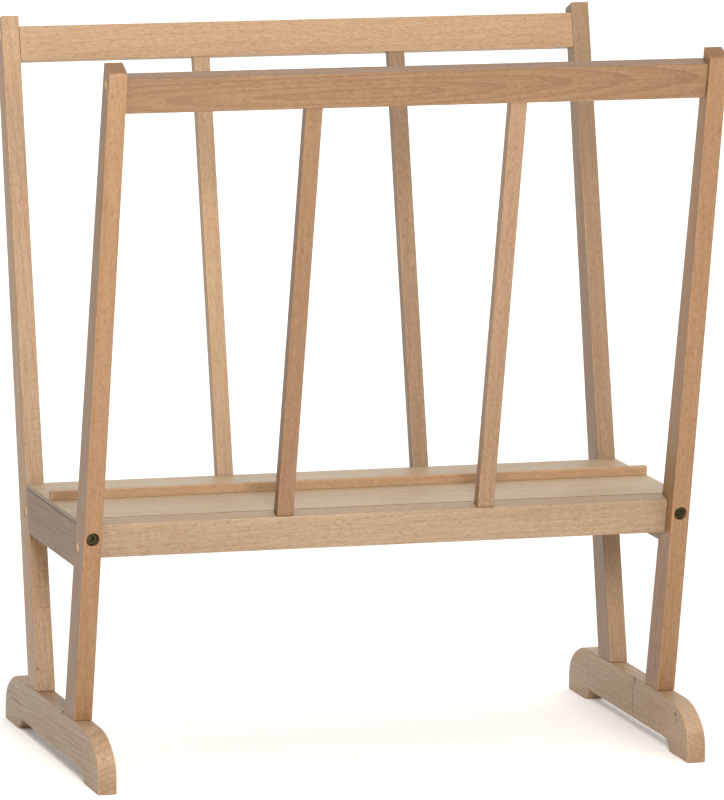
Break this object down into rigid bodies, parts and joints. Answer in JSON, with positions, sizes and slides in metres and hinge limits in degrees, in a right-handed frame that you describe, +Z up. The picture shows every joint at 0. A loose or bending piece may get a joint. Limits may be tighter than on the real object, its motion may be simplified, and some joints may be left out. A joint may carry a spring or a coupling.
{
  "type": "magazine rack",
  "caption": "Free-standing wooden magazine rack: two leaning open frames on a pair of feet, with a shallow tray held between them.",
  "frame": {"origin": "on the floor, at the middle of the rack's width and depth", "axes": "+X to the right, +Y to the back, +Z up"},
  "size_m": [0.67, 0.498, 0.773],
  "materials": {
    "beech": "planed beech with an oiled satin surface",
    "birch_ply": "sanded birch plywood, satin",
    "dowel_wood": "cut end grain, satin",
    "bolt_brass": "dark bronzed",
    "nut_steel": "zinc plated"
  },
  "bodies": {
    "root": {"foot_left": "beech", "foot_right": "beech", "leg_front_left": "beech", "leg_front_right": "beech", "leg_back_left": "beech", "leg_back_right": "beech", "top_rail_front": "beech", "top_rail_back": "beech", "tray_rail_front": "beech", "tray_rail_back": "beech", "side_rail_left": "beech", "side_rail_right": "beech", "slat_front_left": "beech", "slat_front_right": "beech", "slat_back_left": "beech", "slat_back_right": "beech", "tray_board": "birch_ply", "batten": "beech", "through_dowels": "dowel_wood", "connector_bolts": "bolt_brass", "barrel_nuts": "nut_steel", "side_dowels": "dowel_wood", "foot_dowels": "dowel_wood", "foot_screws": "nut_steel", "board_pins": "nut_steel", "batten_pins": "nut_steel"}
  },
  "joints": []
}
